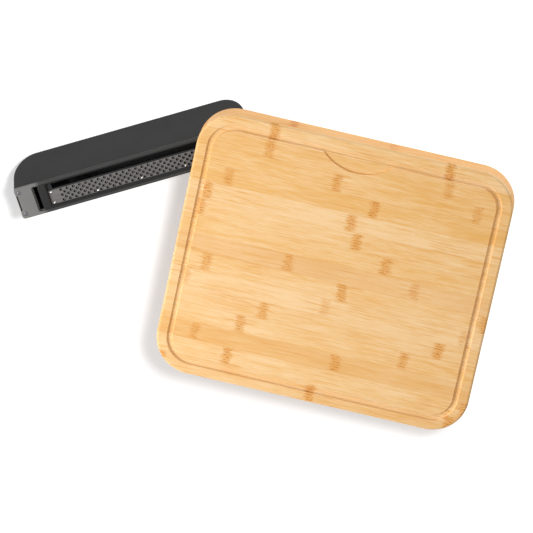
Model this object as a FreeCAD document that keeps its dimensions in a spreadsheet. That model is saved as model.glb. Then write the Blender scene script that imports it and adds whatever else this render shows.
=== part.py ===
import FreeCAD, Part
import math
import os
import re
import Sketcher

# Bamboo cutting board on a railed base, with two black drawer trays that carry grater inserts.
# Frame: +Z up, the board's long side along X, the drawers open towards -Y,
# origin on the table in the middle of the whole set, the loose tray included.

doc = FreeCAD.newDocument("cutting_board")
sheet = doc.addObject("Spreadsheet::Sheet", "Sizes")

sizes = {
    # board
    "board_length": 380.0, "board_width": 330.0, "board_thick": 30.0,
    "board_corner": 45.0, "board_round": 3.0,
    "groove_inset": 12.5, "groove_width": 7.0, "groove_depth": 3.5,
    "well_chord": 90.0, "well_reach": 18.0, "well_depth": 3.0,
    # base rails under the board
    "rail_thick": 14.0, "rail_front_inset": 7.0, "rail_round": 2.0,
    "middle_gap": 12.0, "bay_side_gap": 1.0, "head_gap": 2.7, "slide_gap": 0.3,
    "back_rail_thick": 12.0, "back_rail_inset": 20.7, "front_block_deep": 16.0,
    "ledge_width": 8.0, "ledge_thick": 3.0,
    # feet, dowels, screws and bumpers
    "foot_height": 3.0, "foot_width": 12.0, "foot_stem": 6.0, "foot_stem_long": 6.0,
    "foot_end_inset": 22.0, "foot_edge": 1.0, "stem_gap": 0.5,
    "dowel_width": 6.0, "dowel_long": 24.0, "dowel_in_back": 10.0,
    "screw_shank": 4.5, "screw_head": 8.0, "screw_head_high": 3.0, "screw_in_board": 16.0,
    "screw_bore": 9.0, "screw_bore_deep": 22.0, "screw_end_inset": 62.0,
    "bumper_width": 12.0, "bumper_face": 6.0, "bumper_long": 3.0, "bumper_edge": 1.5,
    "shank_gap": 0.1,
    # drawer tray
    "tray_length": 292.0, "tray_width": 39.0, "tray_height": 52.0, "near_rake": 25.0, "far_rake": 8.0,
    "tray_wall": 2.4, "tray_floor": 3.0, "end_round": 30.0, "shell_round": 2.5, "seam_step": 0.6,
    "glide_thick": 1.0, "glide_width": 6.0, "glide_edge": 1.0,
    "boss_width": 7.0, "boss_long": 14.0, "boss_inset": 5.6, "boss_edge": 6.0,
    # tray cover
    "cover_thick": 3.0, "cover_corner": 4.0, "cover_round": 0.8,
    "cover_end_land": 21.5, "cover_side_land": 3.5, "rim_deep": 3.5, "rim_ledge": 1.5,
    "rim_gap": 0.3, "rim_end": 3.0, "notch_deep": 3.0, "notch_wide": 23.0, "notch_slant": 3.0,
    "cover_screw_head": 5.0, "cover_screw_head_high": 1.6, "cover_screw_shank": 2.4,
    "cover_screw_long": 11.0,
    # grater insert
    "finger_slot": 7.2, "insert_gap": 0.3, "insert_drop": 0.4, "insert_tub": 4.0,
    "insert_corner": 3.0, "recess_side": 2.7, "plate_end": 10.3, "plate_seat": 2.4,
    "plate_wide": 18.0, "plate_thick": 0.8, "plate_gap": 0.15, "mouth_slope": 1.4,
    "mouth_ledge": 0.9, "slot_ledge": 1.5,
    "hole_width": 3.2, "hole_pitch": 7.9, "row_pitch": 3.2, "hole_end": 12.5,
    "rivet_head": 3.8, "rivet_head_high": 1.4, "rivet_shank": 2.0, "rivet_side": 2.2,
    "rivet_end": 3.0, "rivet_boss": 4.2,
    # where the board and the loose tray stand: stand_x is the board's centre, loose_x is from there
    "stand_x": 104.9, "loose_x": -259.0, "loose_y": 54.3, "loose_angle": 29.8,
}
counts = {"rivets_per_side": 5, "feet_per_rail": 2, "screws_per_rail": 2}

row = 1
for alias, value in list(sizes.items()) + list(counts.items()):
    sheet.set(f"A{row}", alias)
    sheet.set(f"B{row}", str(value))
    sheet.setAlias(f"B{row}", alias)
    row += 1

# values worked out from the ones above, so that each is written once
derived = {
    "rail_bottom": "=foot_height",
    "board_under": "=foot_height + ledge_thick + slide_gap + tray_height + head_gap",
    "board_top": "=board_under + board_thick",
    "rail_high": "=board_under - rail_bottom",
    "bay_width": "=tray_width + near_rake + far_rake + 2 * bay_side_gap",
    "inner_rail_x": "=middle_gap / 2 + rail_thick / 2",
    "outer_rail_x": "=middle_gap / 2 + rail_thick * 1.5 + bay_width",
    "bay_x": "=middle_gap / 2 + rail_thick + bay_width / 2",
    "rail_front": "=rail_front_inset - board_width / 2",
    "back_rail_back": "=board_width / 2 - back_rail_inset",
    "back_rail_front": "=back_rail_back - back_rail_thick",
    "rail_long": "=back_rail_front - rail_front",
    "rail_middle": "=(back_rail_front + rail_front) / 2",
    "docked_back": "=back_rail_front - bumper_long - slide_gap",
    "docked_y": "=docked_back - tray_length / 2",
    "docked_z": "=foot_height + ledge_thick + slide_gap",
    "bumper_z": "=docked_z + end_round + bumper_width / 2",
    "screw_hole": "=screw_shank + shank_gap",
    "groove_inner": "=groove_inset + groove_width",
    "docked_x": "=bay_x + (near_rake - far_rake) / 2",
    "base_near": "=tray_width / 2 + near_rake",
    "base_far": "=tray_width / 2 + far_rake",
    "top_half": "=tray_width / 2 - seam_step",
    "shell_top": "=tray_height - cover_thick",
    "floor_top": "=glide_thick + tray_floor",
    "cavity_half": "=top_half - tray_wall",
    "floor_near": "=base_near - (base_near - top_half) * tray_floor / (shell_top - glide_thick) - tray_wall",
    "floor_far": "=base_far - (base_far - top_half) * tray_floor / (shell_top - glide_thick) - tray_wall",
    "boss_side": "=tray_width / 2 - boss_edge",
    "cover_screw_hole": "=cover_screw_shank + shank_gap",
    "rivet_hole": "=rivet_shank + shank_gap",
    "opening_half": "=tray_width / 2 - cover_side_land",
    "opening_end": "=tray_length / 2 - cover_end_land",
    "ledge_half": "=opening_half - rim_ledge",
    "insert_front": "=finger_slot - opening_end",
    "insert_back": "=opening_end - insert_gap",
    "insert_half": "=opening_half - insert_gap",
    "insert_top": "=tray_height - insert_drop",
    "tub_half": "=ledge_half - insert_gap",
    "tub_front": "=insert_front + rim_ledge",
    "tub_back": "=insert_back - rim_ledge",
    "tub_bottom": "=shell_top - insert_tub",
    "seat_top": "=tub_bottom + plate_seat",
    "recess_half": "=insert_half - recess_side",
    "plate_far": "=-recess_half",
    "plate_near": "=plate_wide - recess_half",
    "plate_front": "=insert_front + plate_end",
    "plate_back": "=insert_back - recess_side",
    "plate_middle": "=(plate_front + plate_back) / 2",
    "plate_long": "=plate_back - plate_front",
    "plate_top": "=seat_top + plate_thick",
    "rivet_step": "=hole_pitch * floor((plate_long - 2 * rivet_end) / ((rivets_per_side - 1) * hole_pitch))",
}
row += 1
for alias, formula in derived.items():
    sheet.set(f"A{row}", alias)
    sheet.set(f"B{row}", formula)
    sheet.setAlias(f"B{row}", alias)
    row += 1
doc.recompute()


def size(alias):
    return float(sheet.get(alias))


def number(expression):
    # value of an expression over the sheet's names, for a sketch's starting point
    return float(sheet.evalExpression(expression))


def bound(expression):
    # the same expression, with each name pointed at the sheet
    return re.sub(r"[a-z]\w*", lambda word: "Sizes." + word.group(), expression)


def newBody(label):
    body = doc.addObject("PartDesign::Body", label)
    body.Label = label
    return body


def originPlane(body, role):
    return next(item for item in body.Origin.OriginFeatures if item.Role == role)


def newSketch(body, name, role, lift=None):
    sketch = body.newObject("Sketcher::SketchObject", name)
    sketch.AttachmentSupport = (originPlane(body, role), [""])
    sketch.MapMode = "FlatFace"
    if lift:
        sketch.setExpression("AttachmentOffset.Base.z", bound(lift))
    doc.recompute()
    return sketch


def tie(sketch, kind, *args):
    # one driving constraint whose value, last in args, follows the sheet
    expression = args[-1]
    index = sketch.addConstraint(Sketcher.Constraint(kind, *args[:-1], number(expression)))
    sketch.setExpression(f"Constraints[{index}]", bound(expression))


def addOutline(sketch, corners):
    # closed polygon whose corners are pairs of expressions
    points = [FreeCAD.Vector(number(x), number(y), 0) for x, y in corners]
    first = sketch.GeometryCount
    for index, point in enumerate(points):
        following = points[(index + 1) % len(points)]
        sketch.addGeometry(Part.LineSegment(point, following), False)
    for index, (x, y) in enumerate(corners):
        side = first + index
        last = first + (index - 1) % len(corners)
        sketch.addConstraint(Sketcher.Constraint("Coincident", last, 2, side, 1))
        tie(sketch, "DistanceX", -1, 1, side, 1, x)
        tie(sketch, "DistanceY", -1, 1, side, 1, y)


def addBox(sketch, left, front, right, back):
    addOutline(sketch, [(left, front), (right, front), (right, back), (left, back)])


def addRoundBox(sketch, half_x, half_y, radius):
    # rectangle about the origin with round corners, its sides tangent to the corner arcs
    reach_x, reach_y, bend = number(half_x), number(half_y), number(radius)
    first = sketch.GeometryCount
    for quarter in range(4):
        side_x, side_y = ((1, 1), (-1, 1), (-1, -1), (1, -1))[quarter]
        centre = FreeCAD.Vector(side_x * (reach_x - bend), side_y * (reach_y - bend), 0)
        circle = Part.Circle(centre, FreeCAD.Vector(0, 0, 1), bend)
        start = quarter * math.pi / 2
        sketch.addGeometry(Part.ArcOfCircle(circle, start, start + math.pi / 2), False)
    for quarter in range(4):
        ahead = sketch.Geometry[first + quarter].EndPoint
        behind = sketch.Geometry[first + (quarter + 1) % 4].StartPoint
        sketch.addGeometry(Part.LineSegment(ahead, behind), False)
    for quarter in range(4):
        line = first + 4 + quarter
        sketch.addConstraint(Sketcher.Constraint("Tangent", first + quarter, 2, line, 1))
        sketch.addConstraint(Sketcher.Constraint("Tangent", line, 2, first + (quarter + 1) % 4, 1))
        sketch.addConstraint(Sketcher.Constraint("Vertical" if quarter % 2 else "Horizontal", line))
        tie(sketch, "Radius", first + quarter, radius)
    tie(sketch, "DistanceX", -1, 1, first, 3, f"{half_x} - {radius}")
    tie(sketch, "DistanceY", -1, 1, first, 3, f"{half_y} - {radius}")
    tie(sketch, "DistanceX", -1, 1, first + 2, 3, f"{radius} - {half_x}")
    tie(sketch, "DistanceY", -1, 1, first + 2, 3, f"{radius} - {half_y}")


def addCircle(sketch, x, y, width):
    centre = FreeCAD.Vector(number(x), number(y), 0)
    index = sketch.addGeometry(Part.Circle(centre, FreeCAD.Vector(0, 0, 1), number(width) / 2), False)
    tie(sketch, "DistanceX", -1, 1, index, 3, x)
    tie(sketch, "DistanceY", -1, 1, index, 3, y)
    tie(sketch, "Diameter", index, width)


def pad(body, sketch, name, length, midplane=False, reverse=False):
    feature = body.newObject("PartDesign::Pad", name)
    feature.Profile = sketch
    feature.setExpression("Length", bound(length))
    feature.SideType = "Symmetric" if midplane else "One side"
    feature.Reversed = reverse
    doc.recompute()
    return feature


def pocket(body, sketch, name, length=None, midplane=False, reverse=False):
    before = body.Shape.Volume
    feature = body.newObject("PartDesign::Pocket", name)
    feature.Profile = sketch
    if length:
        feature.setExpression("Length", bound(length))
    else:
        feature.Type = "ThroughAll"
    feature.SideType = "Symmetric" if midplane else "One side"
    feature.Reversed = reverse
    doc.recompute()
    if body.Shape.Volume >= before:
        raise ValueError(name + " cuts nothing")
    return feature


def edgeNames(shape, test):
    names = []
    for index, edge in enumerate(shape.Edges):
        if test(edge.BoundBox, edge):
            names.append(f"Edge{index + 1}")
    return names


def dress(body, kind, name, radius, test):
    # fillet or chamfer on the edges that pass the test
    base = body.Tip
    names = edgeNames(base.Shape, test)
    if not names:
        raise ValueError(name + " finds no edge")
    feature = body.newObject("PartDesign::" + kind, name)
    feature.Base = (base, names)
    feature.setExpression("Size" if kind == "Chamfer" else "Radius", bound(radius))
    doc.recompute()
    if feature.Shape.isNull() or not feature.Shape.isValid():
        raise ValueError(name + " failed")
    return feature


def near(value, target):
    return abs(value - target) < 0.02


def upright(box, edge):
    return near(box.XLength, 0) and near(box.YLength, 0) and not near(box.ZLength, 0)


def place(item, x="0", y="0", z="0", angle="0"):
    # a first turn fixes the axis, and the sheet then gives the angle
    first_turn = FreeCAD.Rotation(FreeCAD.Vector(0, 0, 1), 1)
    item.Placement = FreeCAD.Placement(FreeCAD.Vector(), first_turn)
    item.setExpression("Placement.Base.x", bound("stand_x + " + x))
    item.setExpression("Placement.Base.y", bound(y))
    item.setExpression("Placement.Base.z", bound(z))
    item.setExpression("Placement.Rotation.Angle", bound(angle))


def cylinder(width, low, high, x=0.0, y=0.0):
    return Part.makeCylinder(width / 2, high - low, FreeCAD.Vector(x, y, low))


def groupOf(label, solids):
    # several separate solids kept as one piece of the list, such as a set of screws
    item = doc.addObject("Part::Feature", label)
    item.Label = label
    item.Shape = Part.makeCompound(solids)
    return item


pieces = []


def makeBoard():
    body = newBody("board")
    outline = newSketch(body, "board_outline", "XY_Plane", "board_under")
    addRoundBox(outline, "board_length / 2", "board_width / 2", "board_corner")
    pad(body, outline, "board_slab", "board_thick")

    ring = newSketch(body, "groove_outline", "XY_Plane", "board_top - groove_depth")
    for inset in ("groove_inset", "groove_inner"):
        addRoundBox(ring, f"(board_length / 2 - {inset})", f"(board_width / 2 - {inset})",
                    f"(board_corner - {inset})")
    pocket(body, ring, "juice_groove", "groove_depth", reverse=True)

    # crescent scoop that opens into the groove at the middle of the back long side
    scoop = newSketch(body, "well_outline", "XY_Plane", "board_top - well_depth")
    edge_y = "board_width / 2 - groove_inner + groove_width / 2"
    half, reach, base = number("well_chord / 2"), number("well_reach + groove_width / 2"), number(edge_y)
    radius = (half ** 2 + reach ** 2) / (2 * reach)
    centre = FreeCAD.Vector(0, base - reach + radius, 0)
    turn = math.asin(half / radius)
    circle = Part.Circle(centre, FreeCAD.Vector(0, 0, 1), radius)
    scoop.addGeometry(Part.ArcOfCircle(circle, -math.pi / 2 - turn, -math.pi / 2 + turn), False)
    scoop.addGeometry(Part.LineSegment(FreeCAD.Vector(half, base, 0), FreeCAD.Vector(-half, base, 0)), False)
    scoop.addConstraint(Sketcher.Constraint("Coincident", 0, 2, 1, 1))
    scoop.addConstraint(Sketcher.Constraint("Coincident", 1, 2, 0, 1))
    tie(scoop, "DistanceX", -1, 1, 1, 1, "well_chord / 2")
    tie(scoop, "DistanceX", -1, 1, 1, 2, "-well_chord / 2")
    tie(scoop, "DistanceY", -1, 1, 1, 1, edge_y)
    tie(scoop, "DistanceY", -1, 1, 1, 2, edge_y)
    tie(scoop, "Radius", 0, "(well_chord * well_chord / 4 + (well_reach + groove_width / 2) "
        "* (well_reach + groove_width / 2)) / (2 * well_reach + groove_width)")
    pocket(body, scoop, "pouring_well", "well_depth", reverse=True)

    top, under = size("board_top"), size("board_under")
    inside = size("board_length") / 2 - size("groove_inset") / 2
    dress(body, "Fillet", "board_edges", "board_round",
          lambda box, edge: near(box.ZLength, 0) and (near(box.ZMax, top) or near(box.ZMax, under))
          and (max(abs(box.XMin), abs(box.XMax)) > inside
               or max(abs(box.YMin), abs(box.YMax)) > size("board_width") / 2 - size("groove_inset") / 2))

    pilots = newSketch(body, "screw_pilots", "XY_Plane", "board_under")
    for rail_x in ("-outer_rail_x", "-inner_rail_x", "inner_rail_x", "outer_rail_x"):
        for screw_y in ("rail_front + screw_end_inset", "back_rail_front - screw_end_inset"):
            addCircle(pilots, rail_x, screw_y, "screw_hole")
    pocket(body, pilots, "pilot_holes", "screw_in_board", reverse=True)
    place(body)
    pieces.append(body)


def makeRail(label, rail_x):
    body = newBody(label)
    outline = newSketch(body, label + "_outline", "XY_Plane")
    addBox(outline, "-rail_thick / 2", "-rail_long / 2", "rail_thick / 2", "rail_long / 2")
    pad(body, outline, label + "_bar", "rail_high")
    long_half = size("rail_long") / 2
    dress(body, "Fillet", label + "_front_edges", "rail_round",
          lambda box, edge: upright(box, edge) and near(box.YMin, -long_half))

    bores = newSketch(body, label + "_bores", "XY_Plane")
    shanks = newSketch(body, label + "_shanks", "XY_Plane")
    sockets = newSketch(body, label + "_sockets", "XY_Plane")
    for side in ("-", ""):
        addCircle(bores, "0", f"{side}(rail_long / 2 - screw_end_inset)", "screw_bore")
        addCircle(shanks, "0", f"{side}(rail_long / 2 - screw_end_inset)", "screw_hole")
        addCircle(sockets, "0", f"{side}(rail_long / 2 - foot_end_inset)", "foot_stem")
    pocket(body, bores, label + "_counterbores", "screw_bore_deep", reverse=True)
    pocket(body, shanks, label + "_shank_holes", reverse=True)
    pocket(body, sockets, label + "_foot_sockets", "foot_stem_long", reverse=True)

    end = newSketch(body, label + "_dowel_sketch", "XZ_Plane", "-rail_long / 2")
    addCircle(end, "0", "rail_high / 2", "dowel_width")
    pocket(body, end, label + "_dowel_hole", "dowel_long - dowel_in_back", reverse=True)
    place(body, rail_x, "rail_middle", "rail_bottom")
    pieces.append(body)


def makeBackRail():
    body = newBody("back_rail")
    outline = newSketch(body, "back_rail_outline", "XY_Plane")
    half_long = "(outer_rail_x + rail_thick / 2)"
    addBox(outline, "-" + half_long, "0", half_long, "back_rail_thick")
    pad(body, outline, "back_rail_bar", "rail_high")
    thick = size("back_rail_thick")
    dress(body, "Fillet", "back_rail_edges", "rail_round",
          lambda box, edge: upright(box, edge) and near(box.YMax, thick))
    ends = newSketch(body, "back_rail_dowels", "XZ_Plane")
    for rail_x in ("-outer_rail_x", "-inner_rail_x", "inner_rail_x", "outer_rail_x"):
        addCircle(ends, rail_x, "rail_high / 2", "dowel_width")
    pocket(body, ends, "back_rail_dowel_holes", "dowel_in_back", reverse=False)
    place(body, "0", "back_rail_front", "rail_bottom")
    pieces.append(body)


def makeFrontBlock():
    body = newBody("front_block")
    outline = newSketch(body, "front_block_outline", "XY_Plane")
    addBox(outline, "-middle_gap / 2", "0", "middle_gap / 2", "front_block_deep")
    pad(body, outline, "front_block_bar", "rail_high")
    place(body, "0", "rail_front + rail_round", "rail_bottom")
    pieces.append(body)


def makeLedge(label, ledge_x):
    body = newBody(label)
    outline = newSketch(body, label + "_outline", "XZ_Plane")
    addBox(outline, "-ledge_width / 2", "0", "ledge_width / 2", "ledge_thick")
    pad(body, outline, label + "_strip", "rail_long - rail_round", midplane=True)
    place(body, ledge_x, "rail_middle + rail_round / 2", "rail_bottom")
    pieces.append(body)


def makeFoot(label, foot_x, foot_y):
    body = newBody(label)
    profile = newSketch(body, label + "_profile", "XZ_Plane")
    stem_top = "foot_height + foot_stem_long - stem_gap"
    addOutline(profile, [("0", "0"), ("foot_width / 2 - foot_edge", "0"), ("foot_width / 2", "foot_edge"),
                         ("foot_width / 2", "foot_height"), ("foot_stem / 2", "foot_height"),
                         ("foot_stem / 2", stem_top), ("0", stem_top)])
    turned = body.newObject("PartDesign::Revolution", label + "_turned")
    turned.Profile = profile
    turned.ReferenceAxis = (profile, ["V_Axis"])
    turned.Angle = 360
    doc.recompute()
    place(body, foot_x, foot_y, "0")
    pieces.append(body)


def makeBumper(label, bay_x):
    body = newBody(label)
    profile = newSketch(body, label + "_profile", "XY_Plane")
    addOutline(profile, [("0", "0"), ("bumper_width / 2", "0"),
                         ("bumper_width / 2", "bumper_edge - bumper_long"),
                         ("bumper_face / 2", "-bumper_long"), ("0", "-bumper_long")])
    turned = body.newObject("PartDesign::Revolution", label + "_turned")
    turned.Profile = profile
    turned.ReferenceAxis = (profile, ["V_Axis"])
    turned.Angle = 360
    doc.recompute()
    place(body, bay_x, "back_rail_front", "bumper_z")
    pieces.append(body)


def makeBoardScrews():
    solids = []
    head_low = size("rail_bottom") + size("screw_bore_deep") - size("screw_head_high")
    for rail_x in (-size("outer_rail_x"), -size("inner_rail_x"), size("inner_rail_x"), size("outer_rail_x")):
        for screw_y in (size("rail_front") + size("screw_end_inset"),
                        size("back_rail_front") - size("screw_end_inset")):
            head_top, tip = head_low + size("screw_head_high"), size("board_under") + size("screw_in_board")
            head = cylinder(size("screw_head"), head_low, head_top, rail_x, screw_y)
            shank = cylinder(size("screw_shank"), head_top, tip, rail_x, screw_y)
            solids.append(head.fuse(shank).removeSplitter())
    group = groupOf("board_screws", solids)
    place(group)
    pieces.append(group)


def makeDowels():
    solids = []
    radius, along = size("dowel_width") / 2, FreeCAD.Vector(0, 1, 0)
    start = size("back_rail_front") - (size("dowel_long") - size("dowel_in_back"))
    for rail_x in (-size("outer_rail_x"), -size("inner_rail_x"), size("inner_rail_x"), size("outer_rail_x")):
        base = FreeCAD.Vector(rail_x, start, size("rail_bottom") + size("rail_high") / 2)
        solids.append(Part.makeCylinder(radius, size("dowel_long"), base, along))
    group = groupOf("rail_dowels", solids)
    place(group)
    pieces.append(group)


def makeShell(label):
    body = newBody(label)
    section = newSketch(body, label + "_section", "YZ_Plane")
    addOutline(section, [("-base_far", "glide_thick"), ("base_near", "glide_thick"),
                         ("top_half", "shell_top"), ("-top_half", "shell_top")])
    pad(body, section, label + "_block", "tray_length", midplane=True)
    cavity = newSketch(body, label + "_cavity_section", "YZ_Plane")
    addOutline(cavity, [("-floor_far", "floor_top"), ("floor_near", "floor_top"),
                        ("cavity_half", "shell_top"), ("-cavity_half", "shell_top")])
    pocket(body, cavity, label + "_cavity", "tray_length - 2 * tray_wall", midplane=True)
    floor, bottom = size("floor_top"), size("glide_thick")
    dress(body, "Fillet", label + "_inner_ends", "end_round - tray_wall",
          lambda box, edge: near(box.ZMax, floor) and near(box.XLength, 0))
    dress(body, "Fillet", label + "_outer_ends", "end_round",
          lambda box, edge: near(box.ZMax, bottom) and near(box.XLength, 0))
    half_long = size("tray_length") / 2
    dress(body, "Fillet", label + "_soft_edges", "shell_round",
          lambda box, edge: near(box.ZMin, bottom) and near(box.ZMax, bottom) and near(box.YLength, 0)
          and box.XLength > half_long)

    bosses = newSketch(body, label + "_boss_sketch", "XY_Plane", "shell_top - boss_long")
    holes = newSketch(body, label + "_boss_holes", "XY_Plane", "shell_top - cover_screw_long")
    for side_x in ("-", ""):
        for side_y in ("-", ""):
            x, y = f"{side_x}(tray_length / 2 - boss_inset)", f"{side_y}boss_side"
            addCircle(bosses, x, y, "boss_width")
            addCircle(holes, x, y, "cover_screw_hole")
    pad(body, bosses, label + "_bosses", "boss_long")
    pocket(body, holes, label + "_screw_holes", "cover_screw_long", reverse=True)
    return body


def makeCover(label):
    body = newBody(label)
    half, notch = "tray_length / 2", "notch_wide / 2"
    outline = newSketch(body, label + "_outline", "XY_Plane", "shell_top")
    addOutline(outline, [
        ("-" + half, "-tray_width / 2"), (half, "-tray_width / 2"), (half, "tray_width / 2"),
        ("-" + half, "tray_width / 2"), ("-" + half, notch),
        (f"notch_deep - {half}", f"{notch} - notch_slant"),
        (f"notch_deep - {half}", f"notch_slant - {notch}"), ("-" + half, "-" + notch)])
    pad(body, outline, label + "_plate", "cover_thick")
    wide = size("tray_width") / 2
    dress(body, "Fillet", label + "_corners", "cover_corner",
          lambda box, edge: upright(box, edge) and near(abs(box.YMax), wide))
    top = size("tray_height")
    dress(body, "Fillet", label + "_top_edges", "cover_round", lambda box, edge: near(box.ZMin, top))

    rim = newSketch(body, label + "_rim_sketch", "XY_Plane", "shell_top - rim_deep")
    addBox(rim, "-opening_end - rim_end", "rim_gap - cavity_half",
           "opening_end + rim_end", "cavity_half - rim_gap")
    pad(body, rim, label + "_rim", "rim_deep")
    opening = newSketch(body, label + "_opening_sketch", "XY_Plane", "shell_top")
    addBox(opening, "-opening_end", "-opening_half", "opening_end", "opening_half")
    pocket(body, opening, label + "_opening", "cover_thick", reverse=True)
    through = newSketch(body, label + "_through_sketch", "XY_Plane", "shell_top - rim_deep")
    addBox(through, "rim_ledge - opening_end", "-ledge_half", "opening_end - rim_ledge", "ledge_half")
    pocket(body, through, label + "_through", "rim_deep", reverse=True)
    end = size("opening_end")
    dress(body, "Fillet", label + "_opening_corners", "insert_corner",
          lambda box, edge: upright(box, edge) and near(abs(box.XMax), end) and near(box.ZMax, top))

    heads = newSketch(body, label + "_head_sketch", "XY_Plane", "tray_height - cover_screw_head_high")
    shanks = newSketch(body, label + "_shank_sketch", "XY_Plane", "shell_top")
    for side_x in ("-", ""):
        for side_y in ("-", ""):
            x, y = f"{side_x}(tray_length / 2 - boss_inset)", f"{side_y}boss_side"
            addCircle(heads, x, y, "cover_screw_head + rim_gap")
            addCircle(shanks, x, y, "cover_screw_hole")
    pocket(body, heads, label + "_head_recesses", "cover_screw_head_high", reverse=True)
    pocket(body, shanks, label + "_shank_holes", "cover_thick", reverse=True)
    return body


def rivetSpots():
    # a row of rivets along the plate's far side, and one at each end of its near side
    last = counts["rivets_per_side"] - 1
    far_row = [(f"plate_middle + ({along - last / 2}) * rivet_step", "plate_far + rivet_side")
               for along in range(last + 1)]
    return far_row, [(x, "plate_near - rivet_side") for x, y in (far_row[0], far_row[-1])]


def makeInsertFrame(label):
    body = newBody(label)
    flange = newSketch(body, label + "_flange_sketch", "XY_Plane", "shell_top")
    addBox(flange, "insert_front", "-insert_half", "insert_back", "insert_half")
    pad(body, flange, label + "_flange", "insert_top - shell_top")
    dress(body, "Fillet", label + "_corners", "insert_corner", upright)
    tub = newSketch(body, label + "_tub_sketch", "XY_Plane", "tub_bottom")
    addBox(tub, "tub_front", "-tub_half", "tub_back", "tub_half")
    pad(body, tub, label + "_tub", "insert_tub")
    recess = newSketch(body, label + "_recess_sketch", "XY_Plane", "seat_top")
    addBox(recess, "plate_front", "-recess_half", "plate_back", "recess_half")
    pocket(body, recess, label + "_recess", "insert_top - seat_top", reverse=True)
    # the mouth under the plate's holes, and the open slot that runs beside the plate
    mouth = newSketch(body, label + "_mouth_sketch", "XY_Plane", "tub_bottom")
    front, back = "plate_front + 2 * rivet_end", "plate_back - 2 * rivet_end"
    addBox(mouth, front, "plate_far + mouth_ledge", back, "plate_near - mouth_ledge")
    addBox(mouth, front, "plate_near + slot_ledge", back, "recess_half")
    pocket(body, mouth, label + "_mouth", "plate_seat", reverse=True)
    top, inner_y = size("insert_top"), size("insert_half") - size("recess_side") / 2
    inner_front = size("insert_front") + size("plate_end") / 2
    inner_back = size("insert_back") - size("recess_side") / 2
    dress(body, "Chamfer", label + "_slope", "mouth_slope",
          lambda box, edge: near(box.ZMin, top) and max(abs(box.YMin), abs(box.YMax)) < inner_y
          and box.XMin > inner_front and box.XMax < inner_back)

    bosses = newSketch(body, label + "_boss_sketch", "XY_Plane", "tub_bottom")
    holes = newSketch(body, label + "_rivet_sketch", "XY_Plane", "tub_bottom")
    far_row, near_ends = rivetSpots()
    for x, y in far_row[1:-1]:
        addCircle(bosses, x, y, "rivet_boss")
    for x, y in far_row + near_ends:
        addCircle(holes, x, y, "rivet_hole")
    pad(body, bosses, label + "_bosses", "plate_seat")
    pocket(body, holes, label + "_rivet_holes", "plate_seat", reverse=True)
    return body


def patternAlong(body, feature, name, length, occurrences):
    pattern = body.newObject("PartDesign::LinearPattern", name)
    pattern.Originals = [feature]
    pattern.Direction = (originPlane(body, "X_Axis"), [""])
    pattern.setExpression("Length", bound(length))
    pattern.Occurrences = occurrences
    body.Tip = pattern
    doc.recompute()
    return pattern


def makePlate(label):
    body = newBody(label)
    outline = newSketch(body, label + "_outline", "XY_Plane", "seat_top")
    addBox(outline, "plate_front + plate_gap", "plate_far + plate_gap",
           "plate_back - plate_gap", "plate_near - plate_gap")
    pad(body, outline, label + "_sheet", "plate_thick")
    rivets = newSketch(body, label + "_rivet_sketch", "XY_Plane", "seat_top")
    far_row, near_ends = rivetSpots()
    for x, y in far_row + near_ends:
        addCircle(rivets, x, y, "rivet_hole")
    pocket(body, rivets, label + "_rivet_holes", "plate_thick", reverse=True)

    # staggered rows of grating holes: three rows, and two more half a pitch along; the number
    # of steps along is odd, so that the rivets stand between two holes
    span = number("plate_long - 2 * hole_end")
    columns = 2 * int((span / size("hole_pitch") - 1) / 2) + 1
    start = f"plate_middle - hole_pitch * {columns} / 2"
    for shift, rows in (("0", ("-2", "0", "2")), ("hole_pitch / 2", ("-1", "1"))):
        name = f"{label}_holes{len(rows)}"
        cells = newSketch(body, name + "_sketch", "XY_Plane", "seat_top")
        for row_number in rows:
            addCircle(cells, f"{start} + {shift}",
                      f"(plate_far + plate_near) / 2 + ({row_number}) * row_pitch", "hole_width")
        first = pocket(body, cells, name + "_first", "plate_thick", reverse=True)
        amount = columns + 1 if shift == "0" else columns
        patternAlong(body, first, name, f"hole_pitch * {amount - 1}", amount)
    return body


def makeRivets(label):
    solids = []
    head, high = size("rivet_head") / 2, size("rivet_head_high")
    ball = (head ** 2 + high ** 2) / (2 * high)
    far_row, near_ends = rivetSpots()
    for spot in far_row + near_ends:
        x, y = number(spot[0]), number(spot[1])
        dome = Part.makeSphere(ball, FreeCAD.Vector(x, y, size("plate_top") + high - ball))
        above = cylinder(2 * size("rivet_head"), size("plate_top"), size("plate_top") + 2 * high, x, y)
        cap = dome.common(above)
        shank = cylinder(size("rivet_shank"), size("tub_bottom"), size("plate_top"), x, y)
        solids.append(cap.fuse(shank).removeSplitter())
    return groupOf(label, solids)


def makeCoverScrews(label):
    solids = []
    for side_x in (-1, 1):
        for side_y in (-1, 1):
            x, y = side_x * (size("tray_length") / 2 - size("boss_inset")), side_y * size("boss_side")
            seat = size("tray_height") - size("cover_screw_head_high")
            tip = size("shell_top") - size("cover_screw_long")
            head = cylinder(size("cover_screw_head"), seat, size("tray_height") - size("rim_gap"), x, y)
            shank = cylinder(size("cover_screw_shank"), tip, seat, x, y)
            solids.append(head.fuse(shank).removeSplitter())
    return groupOf(label, solids)


def makeGlides(label):
    solids = []
    long, wide = size("tray_length") - 2 * size("end_round"), size("glide_width")
    margin = size("shell_round") + size("glide_edge")
    for front in (margin - size("base_far"), size("base_near") - margin - wide):
        solids.append(Part.makeBox(long, wide, size("glide_thick"), FreeCAD.Vector(-long / 2, front, 0)))
    return groupOf(label, solids)


def makeTray(prefix, x, y, z, angle):
    makers = [("shell", makeShell), ("cover", makeCover), ("cover_screws", makeCoverScrews),
              ("glides", makeGlides), ("insert_frame", makeInsertFrame), ("grater_plate", makePlate),
              ("grater_rivets", makeRivets)]
    for suffix, maker in makers:
        item = maker(f"{prefix}_{suffix}")
        place(item, x, y, z, angle)
        pieces.append(item)


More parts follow.
